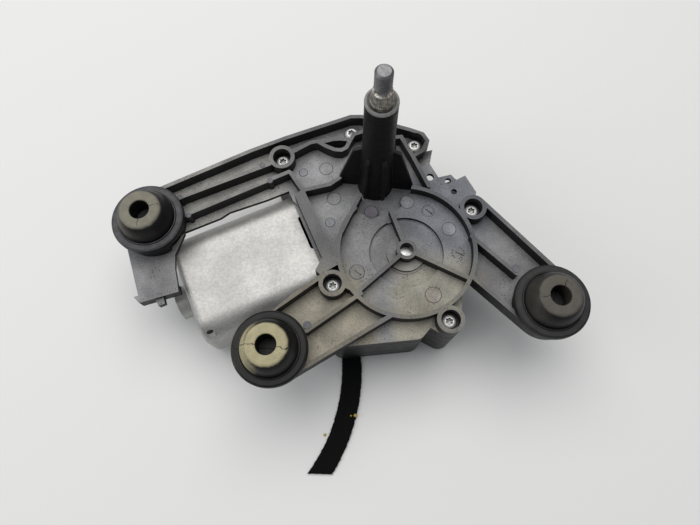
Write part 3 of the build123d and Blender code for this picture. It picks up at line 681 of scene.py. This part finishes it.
# Six pan-head screws of bright zinc-plated steel join the plate to the case.
# Each is forged with a low dome and a six-lobed socket, and then plated.
def zinc_coat(name, pale, deep, size, rough, metal):
    material, maker, sockets = new_material(name)
    where = maker.place()
    crystals = maker.add("ShaderNodeTexVoronoi")
    crystals.inputs["Scale"].default_value = size
    maker.join(where, crystals.inputs["Vector"])
    tint = maker.add("ShaderNodeSeparateColor")
    maker.join(crystals.outputs["Color"], tint.inputs["Color"])
    haze = maker.noise(where, 45.0, 5.0, 0.6)
    fine = maker.noise(where, 900.0, 3.0, 0.6)
    mix = maker.sum("ADD", maker.sum("MULTIPLY", tint.outputs["Red"], 0.45), maker.sum("MULTIPLY", haze, 0.75))
    maker.join(maker.blend(maker.step(mix, 0.2, 0.95), deep, pale), sockets["Base Color"])
    shine = maker.sum("ADD", maker.step(haze, 0.3, 0.7, rough, rough + 0.14), maker.sum("MULTIPLY", fine, 0.1))
    maker.join(shine, sockets["Roughness"])
    sockets["Metallic"].default_value = metal
    maker.join(relief(maker, fine, 0.15, 0.00008), sockets["Normal"])
    return material


screw_zinc = zinc_coat("screw_zinc", (0.86, 0.86, 0.84, 1.0), (0.70, 0.70, 0.69, 1.0), 1600.0, 0.36, 0.35)
screw_places = {
    "north_west": (-43.3, 34.0),
    "north": (0.5, 35.2),
    "east": (30.7, 12.8),
    "south_east": (42.1, -37.4),
    "south": (2.6, -88.7),
    "south_west": (-46.0, -46.3),
}
first_place = screw_places["north_west"]
lobe_radius = 1.95
screw = turned("screw", first_place, [(1.3, 36.0), (2.0, 37.2), (2.0, 46.05), (3.6, 46.05), (3.75, 46.3),
                                      (3.75, 46.9), (3.6, 47.5), (3.2, 48.1), (2.6, 48.5), (2.2, 48.58),
                                      (lobe_radius, 48.55)], 48)


def in_valley(point):
    x, y = point.x - first_place[0] * mm, point.y - first_place[1] * mm
    angle = math.degrees(math.atan2(y, x)) % 60.0
    return point.z > 48.53 * mm and math.hypot(x, y) < (lobe_radius + 0.02) * mm and abs(angle - 30.0) < 12.0


screw_centre = (first_place[0] * mm, first_place[1] * mm, 48.55 * mm)
pick(screw, in_valley)
bpy.ops.transform.resize(value=(0.68, 0.68, 1.0), center_override=screw_centre)
pick(screw, lambda p: p.z > 48.53 * mm and math.hypot(p.x - screw_centre[0], p.y - screw_centre[1]) < 0.3 * mm, "FACE")
bpy.ops.mesh.extrude_region_move(TRANSFORM_OT_translate={"value": (0, 0, -1.5 * mm)})
deselect()
for side, place in screw_places.items():
    twin = screw.copy()
    twin.data = screw.data.copy()
    twin.name = "screw_" + side
    bpy.context.collection.objects.link(twin)
    twin.data.transform(Matrix.Translation(Vector((place[0] - first_place[0], place[1] - first_place[1], 0.0)) * mm))
    twin.data.materials.clear()
    twin.data.materials.append(screw_zinc)
    twin.data.materials.append(painted_shade_dark)
    # The socket's walls take the near-black finish as painted shade in the lobes.
    for face in twin.data.polygons:
        apart = math.hypot(face.center.x - place[0] * mm, face.center.y - place[1] * mm)
        face.material_index = 1 if 47.2 * mm < face.center.z < 48.4 * mm and apart < 2.1 * mm else 0
    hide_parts("housing_screws")
    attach(twin, "housing")
bpy.data.objects.remove(screw)

# The motor's can is deep-drawn steel with a spangled zinc coat.
# Crystals of zinc catch the light one by one, and a lanced lug on the rounding locks the tail bush.
can_zinc = zinc_coat("can_zinc", (0.49, 0.485, 0.47, 1.0), (0.38, 0.375, 0.36, 1.0), 1100.0, 0.42, 0.85)
dress("motor_can", can_zinc)
deselect()
bpy.ops.mesh.primitive_cube_add(size=1.0, location=(0.0, 0.0, 0.0), scale=(3.4 * mm, 2.4 * mm, 1.2 * mm))
lug = bpy.context.object
bpy.ops.object.transform_apply(scale=True)
pick(lug, lambda p: p.z > 0.5 * mm, "FACE")
bpy.ops.mesh.inset(thickness=0.35 * mm)
pick(lug, lambda p: p.z > 0.5 * mm and p.y > 0.1 * mm)
bpy.ops.transform.translate(value=(0, 0, -0.75 * mm))
choose(lug)
lug.data.transform(Matrix.Translation(Vector((-115.6, -42.9, 37.9)) * mm) @ Matrix.Rotation(math.radians(46.0), 4, "X"))
lug.name = "can_lug"
round_over = lug.modifiers.new("round_over", "BEVEL")
round_over.width = 0.15 * mm
round_over.segments = 2
bpy.ops.object.modifier_apply(modifier="round_over")
lug.data.materials.append(can_zinc)
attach(lug, "housing")
# A near-black disc beside the lug is painted shade for the open slot under its lanced edge.
lug_shade = turned("lug_slot_shade", (0.0, 0.0), [(1.5, -0.3), (1.5, 0.04), (1.2, 0.08)], 24)
lug_shade.data.transform(Matrix.Translation(Vector((-116.3, -41.1, 39.3)) * mm)
                         @ Matrix.Rotation(math.radians(38.0), 4, "X") @ Matrix.Diagonal((1.25, 0.7, 1.0, 1.0)))
lug_shade.data.materials.append(painted_shade_dark)
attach(lug_shade, "housing")

# The output spindle is turned steel with a knurled cone and an M8 thread for the wiper arm.
# The cone's ridges are pressed, the thread is rolled, and grease and dirt have browned both.
def weathered_steel(name, bright, stain, rough):
    material, maker, sockets = new_material(name)
    where = maker.place()
    stained = maker.step(maker.noise(where, 420.0, 4.0, 0.7), 0.40, 0.62)
    pits = maker.step(maker.spots(where, 900.0), 0.14, 0.34)
    colour = maker.blend(stained, bright, stain)
    dark = maker.blend(pits, (0.02, 0.017, 0.014, 1.0), colour)
    edge_lightening = place_group(maker, "edge_wear_and_highlight", Width=0.00035)
    maker.join(maker.blend(maker.sum("MULTIPLY", edge_lightening["Mask"], 0.5), dark, bright), sockets["Base Color"])
    maker.join(maker.step(stained, 0.0, 1.0, rough, rough + 0.2), sockets["Roughness"])
    sockets["Metallic"].default_value = 0.8
    maker.join(relief(maker, stained, 0.25, 0.00008), sockets["Normal"])
    return material


spindle = turned("spindle_body", (0.0, 0.0), [
    (4.9, 5.1), (5.4, 5.6), (5.4, 128.9), (5.36, 129.1), (5.34, 129.3), (4.55, 135.0), (4.45, 135.4), (3.55, 135.8),
    (3.5, 136.4), (3.42, 136.9), (3.42, 146.6), (3.9, 146.7), (3.95, 147.0), (3.1, 147.9), (2.9, 148.0)], 80)


def in_groove(point):
    step = round(math.degrees(math.atan2(point.y, point.x)) / 4.5)
    return 129.2 * mm < point.z < 135.1 * mm and step % 2 == 0


pick(spindle, in_groove)
bpy.ops.transform.resize(value=(0.90, 0.90, 1.0), center_override=(0.0, 0.0, 132.0 * mm))
deselect()
bpy.ops.mesh.primitive_plane_add(
    size=1.0 * mm, location=(3.68 * mm, 0.0, 137.7 * mm), rotation=(math.radians(90.0), 0, 0)
)
thread = bpy.context.object
bpy.ops.object.transform_apply(location=True, rotation=True)
pick(thread, lambda p: p.x > 3.7 * mm)
bpy.ops.transform.resize(value=(1.0, 1.0, 0.3), center_override=(3.68 * mm, 0.0, 137.7 * mm))
bpy.ops.transform.translate(value=(-0.22 * mm, 0, 0))
pick(thread, lambda p: p.x < 3.4 * mm)
bpy.ops.transform.translate(value=(0.12 * mm, 0, 0))
choose(thread)
wind = thread.modifiers.new("wind", "SCREW")
wind.axis = "Z"
wind.angle = math.radians(360.0)
wind.screw_offset = 1.25 * mm
wind.iterations = 7
wind.steps = 40
wind.render_steps = 40
wind.use_merge_vertices = True
bpy.ops.object.modifier_apply(modifier="wind")
bpy.ops.object.mode_set(mode="EDIT")
bpy.ops.mesh.select_all(action="SELECT")
bpy.ops.mesh.fill_holes(sides=4)
outward(thread)
spindle = united("spindle_turned", [spindle, thread])
choose(spindle)
bpy.ops.object.shade_smooth_by_angle(angle=math.radians(24.0))
worn_steel = weathered_steel("worn_steel", (0.60, 0.585, 0.55, 1.0), (0.22, 0.18, 0.14, 1.0), 0.36)
grey_thread = worked_metal("grey_thread", (0.24, 0.24, 0.245, 1.0), 0.45, 700.0)
spindle.data.materials.clear()
spindle.data.materials.append(worn_steel)
spindle.data.materials.append(grey_thread)
for face in spindle.data.polygons:
    face.material_index = 1 if face.center.z > 136.6 * mm else 0
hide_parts("output_spindle")
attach(spindle, "spindle")

# The cap is a pressed grey ring, dished towards the spindle and sprung over the tube's end.
# A dark groove shows between its rolled rim and the plastic tube.
cap = turned("cap_ring", (0.0, 0.0), [(7.2, 126.0), (7.2, 126.5), (7.7, 126.6), (7.8, 126.9), (7.75, 127.5),
                                      (7.45, 128.05), (7.05, 128.3), (6.7, 128.2), (6.2, 127.5), (5.85, 127.1),
                                      (5.75, 126.8), (5.75, 126.05)], 80)
cap_zinc = zinc_coat("cap_grey", (0.30, 0.30, 0.29, 1.0), (0.20, 0.20, 0.195, 1.0), 500.0, 0.45, 0.25)
cap.data.materials.append(cap_zinc)
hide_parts("tube_cap")
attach(cap, "housing")

# Three rubber grommets carry the motor on the car, each a flange, a cone and a blind hole.
# The rubber is aged: its tops are bleached tan with cracks. The west side of each cone is painted tan, part bleaching
# and part painted light, the level faces get a grey painted sheen, and the other sides stay black.
maker, given, result = effect("radial_crack", {"Centre": (0.0, 0.0, 0.0), "Turn": 0.0, "Reach": 0.012}, ["Mask"])
from_centre = maker.add("ShaderNodeVectorMath", operation="SUBTRACT")
maker.join(maker.place(), from_centre.inputs[0])
maker.join(given["Centre"], from_centre.inputs[1])
parts = maker.add("ShaderNodeSeparateXYZ")
maker.join(from_centre.outputs["Vector"], parts.inputs["Vector"])
angle = maker.sum("ARCTAN2", parts.outputs["Y"], parts.outputs["X"])
wobble = maker.sum("MULTIPLY", maker.sum("SUBTRACT", maker.noise(maker.place(), 500.0, 3.0), 0.5), 0.35)
off = maker.sum("ABSOLUTE", maker.sum("SUBTRACT", maker.sum("ADD", angle, wobble), given["Turn"]), 0.0)
flat = maker.add("ShaderNodeCombineXYZ")
maker.join(parts.outputs["X"], flat.inputs["X"])
maker.join(parts.outputs["Y"], flat.inputs["Y"])
length = maker.add("ShaderNodeVectorMath", operation="LENGTH")
maker.join(flat.outputs["Vector"], length.inputs[0])
across_crack = maker.sum("MULTIPLY", off, length.outputs["Value"])
inside = maker.step(maker.sum("SUBTRACT", length.outputs["Value"], given["Reach"]), 0.0006, -0.0006)
maker.join(maker.sum("MULTIPLY", maker.step(across_crack, 0.00022, 0.00006), inside), result["Mask"])


def aged_rubber(name, centre, tan, top_share, side_share, dust_and_sheen_film, cracks):
    material, maker, sockets = new_material(name)
    grain = place_group(maker, "moulded_grain", Scale=1.6)
    facing = maker.add("ShaderNodeSeparateXYZ")
    maker.join(maker.add("ShaderNodeNewGeometry").outputs["Normal"], facing.inputs["Vector"])
    where = maker.add("ShaderNodeSeparateXYZ")
    maker.join(maker.place(), where.inputs["Vector"])
    drift = maker.noise(maker.place(), 260.0, 5.0, 0.65)
    crown = maker.step(maker.sum("ADD", where.outputs["Z"], maker.sum("MULTIPLY", drift, 0.0012)), 0.0697, 0.0709)
    # The cone's west-facing side is painted tan: part bleaching, part painted light on the lit side.
    from_west = maker.sum("MULTIPLY", facing.outputs["X"], -0.85)
    lit_side = maker.sum("ADD", from_west, maker.sum("MULTIPLY", facing.outputs["Y"], 0.35))
    ragged = maker.sum("ADD", lit_side, maker.sum("MULTIPLY", drift, 0.7))
    on_cone = maker.step(where.outputs["Z"], 0.0580, 0.0625, 0.15, 1.0)
    side = maker.sum("MULTIPLY", maker.step(ragged, 0.55, 1.15, 0.0, side_share), on_cone)
    # Level faces are painted grey in drifts as a painted sheen.
    level = maker.step(facing.outputs["Z"], 0.6, 1.0)
    level = maker.sum("MULTIPLY", level, maker.step(drift, 0.2, 0.8, 0.5 * dust_and_sheen_film, 1.3 * dust_and_sheen_film))
    cover = maker.sum("MAXIMUM", maker.sum("MULTIPLY", crown, top_share), side)
    skin = maker.blend(grain["Mottle"], (0.0055, 0.0055, 0.0055, 1.0), (0.012, 0.012, 0.012, 1.0))
    skin = maker.blend(level, skin, (0.16, 0.16, 0.17, 1.0))
    tone = maker.blend(grain["Mottle"], tuple(0.72 * c for c in tan[:3]) + (1.0,), tan)
    colour = maker.blend(cover, skin, tone)
    split = None
    for turn_to, reach in cracks:
        crack = place_group(maker, "radial_crack", Centre=(centre[0] * mm, centre[1] * mm, 0.0),
                            Turn=math.radians(turn_to), Reach=reach * mm)["Mask"]
        split = crack if split is None else maker.sum("MAXIMUM", split, crack)
    colour = maker.blend(split, colour, (0.012, 0.010, 0.008, 1.0))
    maker.join(colour, sockets["Base Color"])
    maker.join(maker.step(cover, 0.0, 1.0, 0.42, 0.75), sockets["Roughness"])
    sockets["Specular IOR Level"].default_value = 0.2
    height = maker.sum("SUBTRACT", maker.sum("MULTIPLY", drift, 0.6), maker.sum("MULTIPLY", split, 1.0))
    maker.join(relief(maker, height, 0.5, 0.0004), sockets["Normal"])
    return material


# The side share sets the painted light on each cone's west side, and the fifth value sets the painted grey sheen on
# level faces.
grommet_looks = {
    "left": ((-123.9, 26.2), (0.29, 0.27, 0.21, 1.0), 0.80, 0.35, 0.50, [(-112.0, 9.3), (-5.0, 10.5)]),
    "right": ((53.4, -101.5), (0.17, 0.155, 0.13, 1.0), 0.65, 0.25, 0.14, [(160.0, 9.4), (40.0, 9.0)]),
    "lower": ((-88.4, -66.0), (0.50, 0.45, 0.28, 1.0), 0.95, 0.85, 0.03, [(156.0, 19.0), (-36.0, 13.5)]),
}
for side, (centre, tan, top_share, side_share, dust_and_sheen_film, cracks) in grommet_looks.items():
    grommet = turned("grommet_" + side + "_moulded", centre, [
        (13.9, 40.55), (15.2, 42.0), (15.2, 43.2), (11.5, 43.2), (11.5, 54.3), (18.9, 54.3), (19.5, 55.1),
        (19.5, 57.5), (19.2, 58.3), (18.3, 58.8), (15.9, 58.8), (15.7, 59.0), (15.55, 59.35), (15.2, 59.4),
        (15.0, 59.2), (14.85, 58.2), (14.6, 58.2), (14.62, 60.2), (14.35, 62.2), (13.8, 64.3), (12.9, 66.6),
        (11.7, 68.7), (10.4, 70.0), (9.7, 70.45), (9.3, 70.5), (5.6, 70.5), (5.3, 70.3), (5.2, 69.9), (5.2, 58.55)], 96)
    grommet.data.materials.append(aged_rubber("aged_rubber_" + side, centre, tan, top_share, side_share, dust_and_sheen_film, cracks))
    choose(grommet)
    bpy.ops.object.shade_smooth_by_angle(angle=math.radians(28.0))
    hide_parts("grommet_" + side)
    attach(grommet, "housing")

# The felt strip is a soft black band stuck under the case, its free end lying on the table.
# Its cut edges are fuzzy with loose fibres, and two specks of yellow glue sit near its edge.
strip_width = 11.6
strip_start, strip_bow, strip_tip = Vector((-46.5, -68.0)), Vector((-62.4, -104.1)), Vector((-100.0, -136.5))
cut_from, cut_to = Vector((-104.0, -126.6)), Vector((-80.0, -137.8))


def circle_through(a, b, c):
    d = 2 * (a.x * (b.y - c.y) + b.x * (c.y - a.y) + c.x * (a.y - b.y))
    x = (a.length_squared * (b.y - c.y) + b.length_squared * (c.y - a.y) + c.length_squared * (a.y - b.y)) / d
    y = (a.length_squared * (c.x - b.x) + b.length_squared * (a.x - c.x) + c.length_squared * (b.x - a.x)) / d
    return Vector((x, y))


bend_centre = circle_through(strip_start, strip_bow, strip_tip)
bend_radius = (strip_start - bend_centre).length
start_angle = math.atan2(*(strip_start - bend_centre).yx)
tip_angle = math.atan2(*(strip_tip - bend_centre).yx)


def along(share, offset):
    angle = start_angle + (tip_angle - start_angle) * share
    return bend_centre + Vector((math.cos(angle), math.sin(angle))) * (bend_radius + offset)


def beyond_cut(point):
    run = cut_to - cut_from
    return run.x * (point.y - cut_from.y) - run.y * (point.x - cut_from.x) < 0


def cut_share(offset):
    share = 0.6
    while not beyond_cut(along(share, offset)) and share < 1.1:
        share += 0.002
    return share


fluff = random.Random(11)
lanes, rows = 13, 90
corners, faces = [], []
for row in range(rows):
    for lane in range(lanes):
        offset = strip_width * (lane / (lanes - 1) - 0.5)
        edge = lane in (0, lanes - 1)
        offset += fluff.uniform(-0.18, 0.18) if edge else 0.0
        point = along(cut_share(offset) * row / (rows - 1), offset)
        height = 1.55 + fluff.uniform(-0.12, 0.12) - (0.35 if edge else 0.0)
        corners.append((point.x * mm, point.y * mm, height * mm))
for row in range(rows - 1):
    for lane in range(lanes - 1):
        first = row * lanes + lane
        faces.append((first, first + 1, first + lanes + 1, first + lanes))
strip_mesh = bpy.data.meshes.new("felt_band")
strip_mesh.from_pydata(corners, [], faces)
band = bpy.data.objects.new("felt_band", strip_mesh)
bpy.context.collection.objects.link(band)
choose(band)
bpy.ops.object.mode_set(mode="EDIT")
bpy.ops.mesh.select_all(action="SELECT")
bpy.ops.mesh.normals_make_consistent(inside=False)
bpy.ops.object.mode_set(mode="OBJECT")
if band.data.polygons[0].normal.z < 0:
    band.data.flip_normals()
thicken = band.modifiers.new("thicken", "SOLIDIFY")
thicken.thickness = 1.0 * mm
thicken.offset = -1.0
bpy.ops.object.modifier_apply(modifier="thicken")
bpy.ops.object.shade_smooth()
felt_black = rubber("felt_black", (0.0045, 0.0045, 0.0048, 1.0), (0.010, 0.010, 0.011, 1.0), 0.3, 0.85)
felt_black.node_tree.nodes["Principled BSDF"].inputs["Specular IOR Level"].default_value = 0.05
band.data.materials.append(felt_black)

hairs, slivers = [], []
for number in range(420):
    side = fluff.choice((-1, 1))
    offset = side * strip_width * 0.5
    share = cut_share(offset) * fluff.uniform(0.16, 1.0)
    root = along(share, offset * fluff.uniform(0.90, 1.0))
    ahead = along(share + 0.01, offset)
    out = (root - bend_centre).normalized() * side
    lean = (ahead - root).normalized() * fluff.uniform(-0.9, 0.9)
    reach = fluff.uniform(0.3, 1.1)
    middle = root + (out + lean) * reach * 0.5
    tip = root + (out * 0.7 + lean * 1.4) * reach
    width = (ahead - root).normalized() * 0.06
    low, high = fluff.uniform(0.3, 1.2), fluff.uniform(0.4, 1.9)
    first = len(hairs)
    outline = [root - width, root + width, middle + width, middle - width, tip]
    for point, z in zip(outline, (low, low, high, high, high * 0.8)):
        hairs.append((point.x * mm, point.y * mm, z * mm))
    slivers += [(first, first + 1, first + 2, first + 3), (first + 3, first + 2, first + 4)]
fibre_mesh = bpy.data.meshes.new("felt_fibres")
fibre_mesh.from_pydata(hairs, [], slivers)
fibres = bpy.data.objects.new("felt_fibres", fibre_mesh)
bpy.context.collection.objects.link(fibres)
choose(fibres)
body = fibres.modifiers.new("body", "SOLIDIFY")
body.thickness = 0.07 * mm
bpy.ops.object.modifier_apply(modifier="body")
fibres.data.materials.append(felt_black)

glue_yellow = solid_plastic("glue_yellow", (0.50, 0.36, 0.06, 1.0), 0.4)
specks = []
for place, size, height in (((-61.0, -111.0), 1.0, 1.75), ((-81.6, -113.9), 0.8, 0.25), ((-63.4, -110.2), 0.5, 1.75)):
    deselect()
    bpy.ops.mesh.primitive_ico_sphere_add(
        subdivisions=3, radius=size * mm, location=(place[0] * mm, place[1] * mm, height * mm)
    )
    speck = bpy.context.object
    bpy.ops.object.transform_apply(location=True)
    for vertex in speck.data.vertices:
        vertex.co += Vector((fluff.uniform(-1, 1), fluff.uniform(-1, 1), fluff.uniform(-1, 1))) * 0.09 * size * mm
    pick(speck, lambda p: p.z < height * mm)
    bpy.ops.transform.resize(value=(1.15, 1.0, 0.25), center_override=(place[0] * mm, place[1] * mm, height * mm))
    deselect()
    specks.append(speck)
glue = united("glue_specks", specks)
glue.data.materials.clear()
glue.data.materials.append(glue_yellow)
choose(glue)
bpy.ops.object.shade_smooth()
for piece in (band, fibres, glue):
    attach(piece, "housing")
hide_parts("felt_strip")
